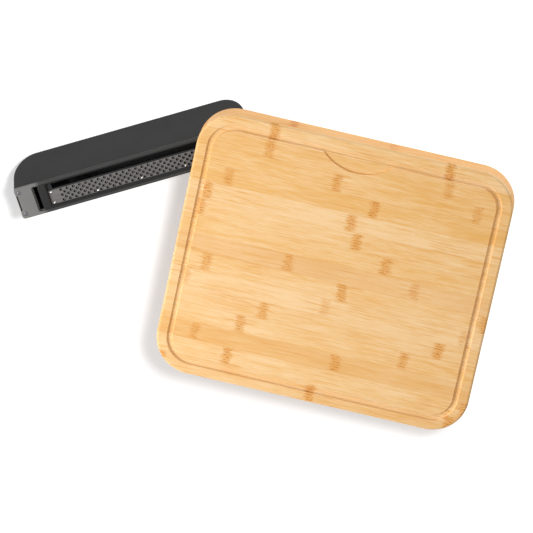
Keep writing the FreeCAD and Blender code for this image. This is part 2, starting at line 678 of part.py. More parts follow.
makeBoard()
for label, rail_x in (("outer_rail_left", "-outer_rail_x"), ("inner_rail_left", "-inner_rail_x"),
                      ("inner_rail_right", "inner_rail_x"), ("outer_rail_right", "outer_rail_x")):
    makeRail(label, rail_x)
    for end, foot_y in (("front", "rail_front + foot_end_inset"),
                        ("back", "back_rail_front - foot_end_inset")):
        makeFoot(label.replace("rail", "foot") + "_" + end, rail_x, foot_y)
makeBackRail()
makeFrontBlock()
for side, sign in (("left", "-"), ("right", "")):
    makeLedge(f"outer_ledge_{side}", f"{sign}(bay_x + bay_width / 2 - ledge_width / 2)")
    makeLedge(f"inner_ledge_{side}", f"{sign}(bay_x - bay_width / 2 + ledge_width / 2)")
    makeBumper(f"bay_bumper_{side}", f"{sign}bay_x")
makeBoardScrews()
makeDowels()
makeTray("right_tray", "docked_x", "docked_y", "docked_z", "90")
makeTray("left_tray", "loose_x", "loose_y", "0", "loose_angle")

doc.recompute()
for item in doc.Objects:
    if "Invalid" in item.State or "Error" in item.State:
        raise ValueError(item.Label + " did not compute")
for item in pieces:
    if item.Shape.isNull() or not item.Shape.isValid():
        raise ValueError(item.Label + " is not a valid solid")
os.makedirs("parts", exist_ok=True)
for item in pieces:
    item.Shape.exportStep(f"parts/{item.Label}.step")
    print(item.Label, len(item.Shape.Solids), round(item.Shape.Volume))
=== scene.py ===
import bmesh
import bpy
import math
from mathutils import Matrix, Vector


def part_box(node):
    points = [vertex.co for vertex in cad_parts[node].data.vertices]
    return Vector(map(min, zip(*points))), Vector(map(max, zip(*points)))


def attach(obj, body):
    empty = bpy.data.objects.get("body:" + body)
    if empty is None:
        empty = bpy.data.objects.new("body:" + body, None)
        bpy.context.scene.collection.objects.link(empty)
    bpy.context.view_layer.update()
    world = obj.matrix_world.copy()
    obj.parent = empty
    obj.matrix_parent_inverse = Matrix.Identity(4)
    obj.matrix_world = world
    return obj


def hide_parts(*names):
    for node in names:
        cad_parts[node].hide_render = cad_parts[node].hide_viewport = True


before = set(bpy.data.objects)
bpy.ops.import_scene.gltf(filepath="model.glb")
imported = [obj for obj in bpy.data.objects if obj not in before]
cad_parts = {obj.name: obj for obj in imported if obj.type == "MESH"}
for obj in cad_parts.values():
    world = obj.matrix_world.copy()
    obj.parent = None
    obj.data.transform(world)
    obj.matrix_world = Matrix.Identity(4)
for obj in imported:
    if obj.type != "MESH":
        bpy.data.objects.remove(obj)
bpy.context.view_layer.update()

bpy.ops.object.select_all(action="DESELECT")

trays = {
    "right_tray": {"insertBody": "right_tray", "turn": math.radians(90)},
    "left_tray": {"insertBody": "left_insert", "turn": math.radians(29.8)},
}


def boxOf(name):
    return tuple(Vector(corner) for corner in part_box(name))


def middleOf(name):
    low, high = boxOf(name)
    return (low + high) / 2


def longOf(suffix):
    # both trays are alike, and the docked one lies square to the axes
    low, high = boxOf("right_tray" + suffix)
    return (high - low).y


boardLow, boardHigh = boxOf("board")
boardMiddle = middleOf("board")
upright = 0.9  # a face counts as level when its normal's upward share is past this
smoothAngle = math.radians(35)


def deselectAll():
    bpy.ops.object.select_all(action="DESELECT")


def activate(piece):
    deselectAll()
    piece.select_set(True)
    bpy.context.view_layer.objects.active = piece


def applyModifiers(piece):
    activate(piece)
    for modifier in list(piece.modifiers):
        bpy.ops.object.modifier_apply(modifier=modifier.name)


def applyPlace(piece):
    activate(piece)
    bpy.ops.object.transform_apply(location=True, rotation=True, scale=True)


def joinPieces(parts, name):
    deselectAll()
    for part in parts:
        part.select_set(True)
    bpy.context.view_layer.objects.active = parts[0]
    bpy.ops.object.join()
    joined = bpy.context.object
    joined.name = name
    return joined


def editWhere(piece, kind, test):
    # edit mode stays on, with only the faces or edges that pass the test selected
    activate(piece)
    bpy.ops.object.mode_set(mode="EDIT")
    bpy.ops.mesh.select_mode(type=kind)
    bpy.ops.mesh.select_all(action="DESELECT")
    mesh = bmesh.from_edit_mesh(piece.data)
    for part in (mesh.faces if kind == "FACE" else mesh.edges):
        if test(part):
            part.select = True
    bmesh.update_edit_mesh(piece.data)


def editAll(piece):
    # edit mode stays on, with everything selected
    activate(piece)
    bpy.ops.object.mode_set(mode="EDIT")
    bpy.ops.mesh.select_all(action="SELECT")


def leaveEdit():
    bpy.ops.object.mode_set(mode="OBJECT")


def cutAway(piece, cutters, name):
    # takes the cutters out of the piece and deletes them
    for cutter in cutters:
        cut = piece.modifiers.new(name, "BOOLEAN")
        cut.operation = "DIFFERENCE"
        cut.solver = "EXACT"
        cut.object = cutter
    applyModifiers(piece)
    for cutter in cutters:
        bpy.data.objects.remove(cutter)


def finishPiece(piece, material, body, replaced=()):
    activate(piece)
    bpy.ops.object.shade_smooth_by_angle(angle=smoothAngle)
    piece.data.materials.clear()
    piece.data.materials.append(material)
    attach(piece, body)
    if replaced:
        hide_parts(*replaced)


class Nodes:
    # short calls for wiring a material's nodes
    def __init__(self, name):
        self.material = bpy.data.materials.new(name)
        self.material.use_nodes = True
        self.tree = self.material.node_tree
        self.shader = self.tree.nodes["Principled BSDF"]

    def add(self, kind, **values):
        node = self.tree.nodes.new(kind)
        for key, value in values.items():
            setattr(node, key, value)
        return node

    def link(self, source, target):
        self.tree.links.new(source, target)

    def feed(self, socket, value):
        if isinstance(value, bpy.types.NodeSocket):
            self.link(value, socket)
        else:
            socket.default_value = value

    def mapped(self, vector, kind="POINT", **values):
        node = self.add("ShaderNodeMapping", vector_type=kind)
        for key, value in values.items():
            node.inputs[key].default_value = value
        self.link(vector, node.inputs["Vector"])
        return node.outputs["Vector"]

    def place(self):
        return self.add("ShaderNodeTexCoord").outputs["Object"]

    def math(self, operation, first, second=0.0):
        node = self.add("ShaderNodeMath", operation=operation)
        for socket, value in zip(node.inputs, (first, second)):
            self.feed(socket, value)
        return node.outputs["Value"]

    def parts(self, vector):
        node = self.add("ShaderNodeSeparateXYZ")
        self.link(vector, node.inputs["Vector"])
        return node.outputs["X"], node.outputs["Y"], node.outputs["Z"]

    def joined(self, x, y, z):
        node = self.add("ShaderNodeCombineXYZ")
        for socket, value in zip(node.inputs, (x, y, z)):
            self.feed(socket, value)
        return node.outputs["Vector"]

    def noise(self, vector, scale, detail=3.0, roughness=0.6):
        node = self.add("ShaderNodeTexNoise")
        self.link(vector, node.inputs["Vector"])
        node.inputs["Scale"].default_value = scale
        node.inputs["Detail"].default_value = detail
        node.inputs["Roughness"].default_value = roughness
        return node.outputs["Fac"]

    def white(self, value):
        node = self.add("ShaderNodeTexWhiteNoise", noise_dimensions="1D")
        self.feed(node.inputs["W"], value)
        return node.outputs["Value"]

    def remap(self, value, low, high, toLow=0.0, toHigh=1.0, smooth=False):
        node = self.add("ShaderNodeMapRange")
        node.interpolation_type = "SMOOTHSTEP" if smooth else "LINEAR"
        self.feed(node.inputs["Value"], value)
        for name, number in (("From Min", low), ("From Max", high),
                             ("To Min", toLow), ("To Max", toHigh)):
            self.feed(node.inputs[name], number)
        return node.outputs["Result"]

    def spread(self, noise, toLow, toHigh):
        # a noise stays near its middle, so this stretches that part to the whole range
        return self.remap(noise, 0.3, 0.7, toLow, toHigh)

    def blend(self, amount, first, second, mode="MIX"):
        node = self.add("ShaderNodeMix", data_type="RGBA", blend_type=mode)
        self.feed(node.inputs["Factor"], amount)
        for socket, value in ((node.inputs[6], first), (node.inputs[7], second)):
            if isinstance(value, bpy.types.NodeSocket):
                self.link(value, socket)
            else:
                socket.default_value = (*value, 1.0)
        return node.outputs[2]

    def bump(self, height, distance, strength):
        node = self.add("ShaderNodeBump")
        node.inputs["Strength"].default_value = strength
        node.inputs["Distance"].default_value = distance
        self.link(height, node.inputs["Height"])
        self.link(node.outputs["Normal"], self.shader.inputs["Normal"])

    def shade(self, colour, roughness, specular=None):
        self.link(colour, self.shader.inputs["Base Color"])
        self.link(roughness, self.shader.inputs["Roughness"])
        if specular is not None:
            self.shader.inputs["Specular IOR Level"].default_value = specular


def srgb(red, green, blue):
    # a colour as seen, 0 to 255, as the linear values that shaders take
    return tuple((value / 255) ** 2.2 for value in (red, green, blue))


bamboo = {
    "along": "x", "across": "y", "slatWidth": 0.0220, "slatShift": 0.010,
    "grainSeed": 3.0, "toneSeed": 7603.75, "roseSeed": 7598.75, "grainApart": 3.7,
    "pale": srgb(253, 213, 160), "warm": srgb(241, 184, 106), "rose": srgb(238, 184, 124),
    "streak": srgb(232, 168, 96), "glueLine": srgb(228, 170, 104),
    "jointGround": srgb(234, 165, 85), "jointDash": srgb(202, 130, 56),
    "side": srgb(250, 232, 204), "sideTop": boardHigh.z - 0.0035, "sideShade": 0.0012,
    "specular": 0.3, "gloss": (0.48, 0.62), "relief": 0.2, "reliefDeep": 0.0001,
    # how fine each kind of grain is along and across a slat, and its detail
    "grains": {
        "fine": (70, 1400, 3.0), "lines": (26, 700, 3.0), "bands": (9, 130, 2.0),
        "patches": (9, 26, 2.0), "wobble": (50, 240, 1.0), "sway": (200, 130, 1.0),
        "breaks": (300, 420, 1.0),
    },
    "grainRough": 0.55,
    # how far each kind of grain moves the tone, from pale at 0 to warm at 1
    "slatTone": (0.22, 0.72),
    "tones": {"patches": (-0.22, 0.22), "bands": (-0.18, 0.20),
              "lines": (-0.26, 0.28), "fine": (-0.40, 0.40)},
    # how strong each mark is: the two levels it changes between, then its strength at each
    "roseSlats": (0.6, 0.9, 0.0, 1.0), "rosePatches": (0.35, 0.65, 0.25, 0.6),
    "streakLines": (0.54, 0.68), "streakPatches": (0.42, 0.62, 0.1, 0.75),
    "streaksBeside": (0.5, 5.0, 0.9, 0.0),
    "glueEdge": (0.475, 0.5), "gluePatches": (0.4, 0.6, 0.1, 0.7),
    "jointFade": (0.25, 1.25), "jointEnds": (0.42, 0.49, 1.0, 0.3), "jointMost": 0.8,
    "dashWaves": (-0.1, 0.8, 0.0, 1.0), "dashBreaks": (0.42, 0.56, 0.1, 1.0),
    "jointReach": 0.0066, "jointWobble": 0.002, "dashStep": 0.0032, "dashSway": 9.0,
    # each slat's number, counted from the board's middle, with its joints' places and strengths
    "joints": {
        7: ((-0.103, 0.95), (0.108, 1.0)), 6: ((-0.104, 0.75), (0.1115, 0.6)),
        5: ((-0.019, 0.85), (0.150, 0.7)), 4: ((-0.1445, 0.75), (0.0305, 1.0)),
        3: ((-0.166, 0.85), (0.008, 0.85)), 2: ((-0.170, 0.8), (0.019, 0.95)),
        1: ((0.0585, 0.8),), 0: ((-0.0545, 0.75), (0.098, 0.5)),
        -1: ((-0.150, 0.75), (0.0145, 0.85), (0.187, 0.8)),
        -2: ((-0.0015, 0.4), (0.167, 0.45), (-0.170, 0.4)),
        -3: ((-0.072, 0.75), (0.1415, 0.95)), -4: ((-0.095, 0.75), (0.103, 0.8)),
        -5: ((-0.146, 0.7), (0.0245, 0.85)), -6: ((-0.1025, 0.9), (0.1855, 0.7)),
        -7: ((0.0035, 1.0), (-0.1795, 0.95), (0.1717, 1.0)),
    },
    "sideJoints": {7: ((-0.083, 0.9), (0.036, 0.5)), -8: ((-0.045, 0.8), (0.121, 0.7))},
}


def addJoints(nodes, look, along, slat, side):
    # how deep a place lies in a joint, and how far off the nearest joint is; other slats and the
    # board's side count as far away, so a joint ends with its own slat
    far = 40.0
    place = nodes.joined(nodes.math("DIVIDE", along, look["jointReach"]),
                         nodes.math("MULTIPLY", slat, far),
                         nodes.math("MULTIPLY", nodes.math("ROUND", side), far))
    joints = [(number, where, strength, level)
              for level, slats in ((0, look["joints"]), (far, look["sideJoints"]))
              for number, found in slats.items() for where, strength in found]
    deepest, nearest = 0.0, far
    for number, where, strength, level in joints:
        measure = nodes.add("ShaderNodeVectorMath", operation="DISTANCE")
        nodes.link(place, measure.inputs[0])
        measure.inputs[1].default_value = ((where + boardMiddle.x) / look["jointReach"],
                                           number * far, level)
        distance = measure.outputs["Value"]
        depth = nodes.remap(distance, *look["jointFade"], strength, 0.0, smooth=True)
        deepest = nodes.math("MAXIMUM", depth, deepest)
        nearest = nodes.math("MINIMUM", distance, nearest)
    return deepest, nearest


def makeBamboo(name, look):
    nodes = Nodes(name)
    axes = dict(zip("xyz", nodes.parts(nodes.place())))
    run, across = axes.pop(look["along"]), axes.pop(look["across"])
    deep = axes.popitem()[1]
    slatPlace = nodes.math("DIVIDE", nodes.math("ADD", across, look["slatShift"]),
                           look["slatWidth"])
    slat = nodes.math("FLOOR", slatPlace)
    fromMiddle = nodes.math("ABSOLUTE", nodes.math("SUBTRACT", nodes.math("FRACT", slatPlace), 0.5))
    ownGrain, ownTone, ownRose = (nodes.white(nodes.math("ADD", slat, look[seed]))
                                  for seed in ("grainSeed", "toneSeed", "roseSeed"))

    # the grain is drawn out along the slats, and each slat has its own piece of it
    along = nodes.math("ADD", run, nodes.math("MULTIPLY", ownGrain, look["grainApart"]))

    def grain(kind):
        alongScale, acrossScale, detail = look["grains"][kind]
        stretched = nodes.joined(nodes.math("MULTIPLY", along, alongScale),
                                 nodes.math("MULTIPLY", across, acrossScale),
                                 nodes.math("MULTIPLY", deep, acrossScale))
        return nodes.noise(stretched, 1.0, detail, look["grainRough"])

    grains = {kind: grain(kind) for kind in look["tones"]}
    lines, patches = grains["lines"], grains["patches"]
    tone = nodes.remap(ownTone, 0.0, 1.0, *look["slatTone"])
    for kind, (least, most) in look["tones"].items():
        tone = nodes.math("ADD", tone, nodes.spread(grains[kind], least, most))
    colour = nodes.blend(nodes.remap(tone, 0.0, 1.0), look["pale"], look["warm"])
    rose = nodes.math("MULTIPLY", nodes.remap(ownRose, *look["roseSlats"]),
                      nodes.remap(patches, *look["rosePatches"]))
    colour = nodes.blend(rose, colour, look["rose"])

    # thin reddish streaks, more of them beside a joint, then the thin glue line between slats
    side = 1.0
    streaks = nodes.remap(patches, *look["streakPatches"])
    if look["joints"]:
        side = nodes.remap(deep, look["sideTop"] - look["sideShade"], look["sideTop"],
                           1.0, 0.0, smooth=True)
        wobble = nodes.spread(grain("wobble"), -look["jointWobble"], look["jointWobble"])
        joint, nearest = addJoints(nodes, look, nodes.math("ADD", run, wobble), slat, side)
        beside = nodes.remap(nearest, *look["streaksBeside"], smooth=True)
        streaks = nodes.math("MAXIMUM", streaks, beside)
    streak = nodes.remap(lines, *look["streakLines"], 0.0, streaks, smooth=True)
    colour = nodes.blend(streak, colour, look["streak"])
    glue = nodes.remap(fromMiddle, *look["glueEdge"], 0.0,
                       nodes.remap(patches, *look["gluePatches"]))
    colour = nodes.blend(glue, colour, look["glueLine"])

    # joints of the cane: a warm ground with short dark dashes along the grain
    if look["joints"]:
        step = nodes.math("MULTIPLY", across, 2 * math.pi / look["dashStep"])
        sway = nodes.math("MULTIPLY", grain("sway"), look["dashSway"])
        wave = nodes.math("SINE", nodes.math("ADD", step, sway))
        breaks = nodes.remap(grain("breaks"), *look["dashBreaks"], smooth=True)
        dashes = nodes.math("MULTIPLY", nodes.remap(wave, *look["dashWaves"], smooth=True), breaks)
        ends = nodes.remap(fromMiddle, *look["jointEnds"], smooth=True)
        joint = nodes.math("MULTIPLY", joint, ends)
        ground = nodes.math("MULTIPLY", joint, look["jointMost"])
        colour = nodes.blend(ground, colour, look["jointGround"])
        colour = nodes.blend(nodes.math("MULTIPLY", joint, dashes), colour, look["jointDash"])

    # sides are a little darker and redder than the board's flat top
    colour = nodes.blend(side, colour, look["side"], "MULTIPLY")
    nodes.shade(colour, nodes.spread(lines, *look["gloss"]), look["specular"])
    nodes.bump(lines, look["reliefDeep"], look["relief"])
    return nodes.material


plastics = {
    "shellPlastic": {"colour": srgb(42, 42, 42), "roughness": 0.55, "specular": 0.3,
                     "grain": 2200, "grainDeep": 0.00012},
    "insertPlastic": {"colour": srgb(15, 15, 16), "roughness": 0.28, "specular": 0.4,
                      "grain": 1500, "grainDeep": 0.00004},
    "glidePlastic": {"colour": srgb(214, 212, 205), "roughness": 0.4, "specular": 0.5,
                     "grain": 1500, "grainDeep": 0.00005},
    "rubberBlack": {"colour": srgb(34, 34, 35), "roughness": 0.8, "specular": 0.3,
                    "grain": 1800, "grainDeep": 0.00015},
}
wear = {"scale": 28, "darker": 0.82, "smoother": 0.05, "rougher": 0.07, "relief": 0.6}


def finishPlastic(nodes, place, look, colour, worn):
    # fine moulded grain, and broad worn patches that differ in gloss
    rough = look["roughness"]
    gloss = nodes.spread(worn, rough - wear["smoother"], rough + wear["rougher"])
    nodes.shade(colour, gloss, look["specular"])
    nodes.bump(nodes.noise(place, look["grain"]), look["grainDeep"], wear["relief"])
    return nodes.material


def makePlastic(name, look):
    nodes = Nodes(name)
    place = nodes.place()
    worn = nodes.noise(place, wear["scale"])
    darker = tuple(value * wear["darker"] for value in look["colour"])
    return finishPlastic(nodes, place, look, nodes.blend(worn, darker, look["colour"]), worn)


# the pale end tone is a painted sheen on the end lands, which lie flush with the darker lips on one
# flat top
cover = {
    "endSheenTone": srgb(116, 115, 113), "sideTone": srgb(46, 46, 45), "endLand": 0.0245,
    "shade": 0.010, "ragged": 0.001, "darkest": 0.16,
    "roughness": 0.42, "specular": 0.4, "grain": 2200, "grainDeep": 0.0001,
}


def makeCoverPlastic(tray, turn):
    # painted sheen: the wide end lands are painted paler than the narrow lips along the sides,
    # standing in for the stronger light they catch
    nodes = Nodes(tray + "_coverPlastic")
    place = nodes.mapped(nodes.place(), "TEXTURE", Location=middleOf(tray + "_cover"),
                         Rotation=(0, 0, turn))
    worn = nodes.noise(place, wear["scale"])
    along = nodes.math("ADD", nodes.math("ABSOLUTE", nodes.parts(place)[0]),
                       nodes.spread(worn, -cover["ragged"], cover["ragged"]))
    start = longOf("_cover") / 2 - cover["endLand"]
    # painted sheen: the end lands blend from the lips' dark tone to the pale end tone
    colour = nodes.blend(nodes.remap(along, start - cover["shade"], start, smooth=True),
                         cover["sideTone"], cover["endSheenTone"])
    colour = nodes.blend(nodes.spread(worn, 0.0, cover["darkest"]), colour, (0, 0, 0))
    return finishPlastic(nodes, place, cover, colour, worn)


steels = {
    "plateSteel": {"colour": srgb(108, 106, 105), "roughness": 0.36, "brushed": (40, 900, 900)},
    "rivetSteel": {"colour": srgb(190, 188, 184), "roughness": 0.25, "brushed": (300, 300, 300)},
    "screwSteel": {"colour": srgb(120, 120, 124), "roughness": 0.35, "brushed": (300, 300, 300)},
}
brush = {"darker": 0.8, "smoother": 0.06, "rougher": 0.1, "relief": 0.5, "deep": 0.00006}


def makeSteel(name, look, turn=0.0):
    # brush lines that run along the piece, which is turned by the given angle
    nodes = Nodes(name)
    turned = nodes.mapped(nodes.place(), Rotation=(0, 0, -turn))
    lines = nodes.noise(nodes.mapped(turned, Scale=look["brushed"]), 1.0)
    darker = tuple(value * brush["darker"] for value in look["colour"])
    rough = look["roughness"]
    nodes.shade(nodes.blend(lines, darker, look["colour"]),
                nodes.spread(lines, rough - brush["smoother"], rough + brush["rougher"]))
    nodes.shader.inputs["Metallic"].default_value = 1.0
    nodes.bump(lines, brush["deep"], brush["relief"])
    return nodes.material


boardBamboo = makeBamboo("boardBamboo", bamboo)
rail = dict(bamboo, across="z", slatWidth=0.0145, joints={})
railBamboo = makeBamboo("railBamboo", dict(rail, along="y"))
crossBamboo = makeBamboo("crossBamboo", dict(rail, along="x"))
dowelWood = makeBamboo("dowelWood", dict(rail, along="y", slatWidth=0.5))
plastic = {name: makePlastic(name, look) for name, look in plastics.items()}
coverPlastic = {tray: makeCoverPlastic(tray, facts["turn"]) for tray, facts in trays.items()}
plateSteel = {tray: makeSteel(tray + "_plateSteel", steels["plateSteel"], facts["turn"])
              for tray, facts in trays.items()}
rivetSteel = makeSteel("rivetSteel", steels["rivetSteel"])
screwSteel = makeSteel("screwSteel", steels["screwSteel"])
print("materials made")


board = {
    "corner": 0.045, "cornerSteps": 28, "edgeRound": 0.003, "edgeSteps": 6,
    "grooveInset": 0.0125, "grooveWidth": 0.007, "grooveDepth": 0.0022, "grooveRound": 0.0021,
    "grooveSteps": 6, "grooveLip": 0.0004, "lipSteps": 2, "nearRing": 0.0003, "nearLevel": 0.0001,
    "wellChord": 0.090, "wellReach": 0.018, "wellDeep": 0.0010, "wellShallow": 0.0002,
    "wellSteps": 160, "cutterHigh": 0.02,
}


def insetOf(point):
    # how far a point lies inside the board's rounded outline
    half = (boardHigh - boardLow) / 2
    x = abs(point.x - boardMiddle.x) - (half.x - board["corner"])
    y = abs(point.y - boardMiddle.y) - (half.y - board["corner"])
    outside = math.hypot(max(x, 0), max(y, 0))
    return board["corner"] - outside - min(max(x, y), 0)


def edgeAt(edge, inset, height):
    return all(abs(insetOf(vertex.co) - inset) < board["nearRing"]
               and abs(vertex.co.z - height) < board["nearLevel"] for vertex in edge.verts)


def buildBoard():
    size = boardHigh - boardLow
    bpy.ops.mesh.primitive_cube_add(size=1, location=boardMiddle)
    slab = bpy.context.object
    slab.name = "chopping_board"
    slab.scale = size
    applyPlace(slab)

    # round the upright corners
    editWhere(slab, "EDGE",
              lambda edge: abs(edge.verts[0].co.z - edge.verts[1].co.z) > size.z / 2)
    bpy.ops.mesh.bevel(offset=board["corner"], segments=board["cornerSteps"], affect="EDGES")
    leaveEdit()

    # rim, groove and middle are rings of the top face; the groove's ring goes down
    editWhere(slab, "FACE", lambda face: face.normal.z > upright)
    bpy.ops.mesh.inset(thickness=board["grooveInset"])
    bpy.ops.mesh.inset(thickness=board["grooveWidth"])
    leaveEdit()
    grooveMiddle = board["grooveInset"] + board["grooveWidth"] / 2
    editWhere(slab, "FACE", lambda face: face.normal.z > upright and len(face.verts) == 4
              and abs(insetOf(face.calc_center_median()) - grooveMiddle) < 0.001)
    bpy.ops.mesh.extrude_region_move(
        TRANSFORM_OT_translate={"value": (0, 0, -board["grooveDepth"])})
    bpy.ops.mesh.region_to_loop()
    bpy.ops.mesh.bevel(offset=board["grooveRound"], segments=board["grooveSteps"], affect="EDGES")
    leaveEdit()

    # soften the groove's lips and the board's outer edges
    top, under = boardHigh.z, boardLow.z
    grooveEnd = board["grooveInset"] + board["grooveWidth"]
    editWhere(slab, "EDGE", lambda edge: edgeAt(edge, board["grooveInset"], top)
              or edgeAt(edge, grooveEnd, top))
    bpy.ops.mesh.bevel(offset=board["grooveLip"], segments=board["lipSteps"], affect="EDGES")
    leaveEdit()
    editWhere(slab, "EDGE", lambda edge: edgeAt(edge, 0, top) or edgeAt(edge, 0, under))
    bpy.ops.mesh.bevel(offset=board["edgeRound"], segments=board["edgeSteps"], affect="EDGES")
    leaveEdit()

    cutWell(slab)
    weighted = slab.modifiers.new("Flat faces", "WEIGHTED_NORMAL")
    weighted.keep_sharp = True
    finishPiece(slab, boardBamboo, "base", ["board"])
    applyModifiers(slab)


def cutWell(slab):
    # a leaning disc takes the crescent out, deepest where it meets the groove
    inner = boardHigh.y - board["grooveInset"] - board["grooveWidth"]
    mouth = inner + board["grooveWidth"] / 2
    reach = board["wellReach"] + board["grooveWidth"] / 2
    radius = ((board["wellChord"] / 2) ** 2 + reach ** 2) / (2 * reach)
    centre = Vector((boardMiddle.x, mouth - reach + radius, boardHigh.z))
    lean = math.atan((board["wellDeep"] - board["wellShallow"]) / reach)
    bpy.ops.mesh.primitive_cylinder_add(
        vertices=board["wellSteps"], radius=radius, depth=board["cutterHigh"],
        location=centre + Vector((0, 0, board["cutterHigh"] / 2)))
    cutter = bpy.context.object
    applyPlace(cutter)
    editAll(cutter)
    bpy.ops.mesh.bisect(plane_co=(0, mouth, 0), plane_no=(0, 1, 0), clear_outer=True,
                        use_fill=True)
    bpy.ops.mesh.select_all(action="SELECT")
    bpy.ops.transform.rotate(value=-lean, orient_axis="X", orient_type="GLOBAL",
                             center_override=(centre.x, mouth, boardHigh.z))
    bpy.ops.transform.translate(value=(0, 0, -board["wellDeep"]))
    leaveEdit()
    cutAway(slab, [cutter], "Crescent")


buildBoard()
print("board built")


grater = {
    "holePitch": 0.0079, "rowPitch": 0.0032, "holeEnd": 0.0125,
    "toothRadius": 0.0019, "toothHigh": 0.0013, "toothWall": 0.0004, "sunk": 0.0002,
    "toothStart": 0.0010, "toothLean": 0.35, "toothSteps": 12, "toothRings": 6,
}


def makeTooth(name):
    # a small hood, open on one side, that stands over half of a hole
    bpy.ops.mesh.primitive_uv_sphere_add(segments=grater["toothSteps"],
                                         ring_count=grater["toothRings"],
                                         radius=grater["toothRadius"])
    tooth = bpy.context.object
    tooth.name = name
    tooth.scale.z = grater["toothHigh"] / grater["toothRadius"]
    applyPlace(tooth)
    editAll(tooth)
    bpy.ops.mesh.bisect(plane_co=(0, 0, -grater["sunk"]), plane_no=(0, 0, 1), clear_inner=True)
    bpy.ops.mesh.select_all(action="SELECT")
    bpy.ops.mesh.bisect(plane_co=(grater["toothStart"], 0, 0),
                        plane_no=(1, 0, grater["toothLean"]), clear_inner=True)
    leaveEdit()
    wall = tooth.modifiers.new("Wall", "SOLIDIFY")
    wall.thickness = grater["toothWall"]
    wall.offset = -1
    applyModifiers(tooth)
    return tooth


def repeatAlong(piece, count, step):
    array = piece.modifiers.new("Row", "ARRAY")
    array.count = count
    array.use_relative_offset = False
    array.use_constant_offset = True
    array.constant_offset_displace = step
    applyModifiers(piece)


def turnAndMove(piece, turn, place):
    editAll(piece)
    bpy.ops.transform.rotate(value=-turn, orient_axis="Z", orient_type="GLOBAL",
                             center_override=(0, 0, 0))
    bpy.ops.transform.translate(value=place)
    leaveEdit()


def buildTeeth(tray):
    # rows of two lengths take turns, so that each tooth stands between two of the next row
    plate = tray + "_grater_plate"
    free = longOf("_grater_plate") - 2 * grater["holeEnd"]
    columns = 2 * int((free / grater["holePitch"] - 1) / 2) + 1
    rows = []
    for count, first, repeats in ((columns + 1, -2, 3), (columns, -1, 2)):
        tooth = makeTooth(tray + "_teeth_" + str(repeats))
        repeatAlong(tooth, count, (grater["holePitch"], 0, 0))
        repeatAlong(tooth, repeats, (0, 2 * grater["rowPitch"], 0))
        start = (-grater["holePitch"] * (count - 1) / 2, first * grater["rowPitch"], 0)
        turnAndMove(tooth, 0, start)
        rows.append(tooth)
    teeth = joinPieces(rows, tray + "_grater_teeth")
    middle = middleOf(plate)
    turnAndMove(teeth, trays[tray]["turn"], (middle.x, middle.y, boxOf(plate)[1].z))
    finishPiece(teeth, plateSteel[tray], trays[tray]["insertBody"])


for tray in trays:
    buildTeeth(tray)
print("grater teeth built")


coverScrew = {
    "head": 0.005, "high": 0.0016, "edge": 0.0004, "cross": 0.0026, "slot": 0.0006,
    "slotDeep": 0.0009, "shank": 0.0024, "endInset": 0.0056, "side": 0.0135,
}
boardScrew = {
    "head": 0.008, "high": 0.003, "edge": 0.0008, "cross": 0.0044, "slot": 0.0010,
    "slotDeep": 0.0016, "shank": 0.0045,
}
anyScrew = {"headSides": 32, "shankSides": 24, "slotTaper": 0.6, "tip": 0.3, "near": 0.0001}


def makeScrewHead(look, name):
    # head with a cross recess, its top at the origin
    bpy.ops.mesh.primitive_cylinder_add(vertices=anyScrew["headSides"], radius=look["head"] / 2,
                                        depth=look["high"], location=(0, 0, -look["high"] / 2))
    head = bpy.context.object
    head.name = name
    applyPlace(head)
    editWhere(head, "EDGE",
              lambda edge: all(vertex.co.z > -anyScrew["near"] for vertex in edge.verts))
    bpy.ops.mesh.bevel(offset=look["edge"], segments=3, affect="EDGES")
    leaveEdit()
    bars = []
    for long, wide in ((look["cross"], look["slot"]), (look["slot"], look["cross"])):
        bpy.ops.mesh.primitive_cube_add(size=1)
        bar = bpy.context.object
        bar.scale = (long, wide, 2 * look["slotDeep"])
        applyPlace(bar)
        editWhere(bar, "FACE", lambda face: face.normal.z < -upright)
        bpy.ops.transform.resize(value=(anyScrew["slotTaper"], anyScrew["slotTaper"], 1))
        leaveEdit()
        bars.append(bar)
    cutAway(head, bars, "Recess")
    return head


def makeScrew(look, name, long):
    head = makeScrewHead(look, name)
    end = -look["high"] - long
    bpy.ops.mesh.primitive_cylinder_add(vertices=anyScrew["shankSides"], radius=look["shank"] / 2,
                                        depth=long, location=(0, 0, -look["high"] - long / 2))
    shank = bpy.context.object
    applyPlace(shank)
    editWhere(shank, "EDGE",
              lambda edge: all(vertex.co.z < end + anyScrew["near"] for vertex in edge.verts))
    bpy.ops.mesh.bevel(offset=look["shank"] * anyScrew["tip"], segments=2, affect="EDGES")
    leaveEdit()
    return joinPieces([head, shank], name)


def placeCopies(piece, places, name):
    # one copy, with its own mesh, at each place
    copies = []
    for place in places:
        activate(piece)
        bpy.ops.object.duplicate()
        copy = bpy.context.object
        copy.location = place
        applyPlace(copy)
        copies.append(copy)
    bpy.data.objects.remove(piece)
    return joinPieces(copies, name)


def buildCoverScrews(tray):
    node = tray + "_cover_screws"
    low, high = boxOf(node)
    screw = makeScrew(coverScrew, "coverScrew", high.z - low.z - coverScrew["high"])
    reach = longOf("_cover") / 2 - coverScrew["endInset"]
    side = coverScrew["side"]
    places = [(x, y, 0) for x in (-reach, reach) for y in (-side, side)]
    screws = placeCopies(screw, places, tray + "_cover_cross_screws")
    middle = middleOf(tray + "_cover")
    turnAndMove(screws, trays[tray]["turn"], (middle.x, middle.y, high.z))
    finishPiece(screws, screwSteel, tray, [node])


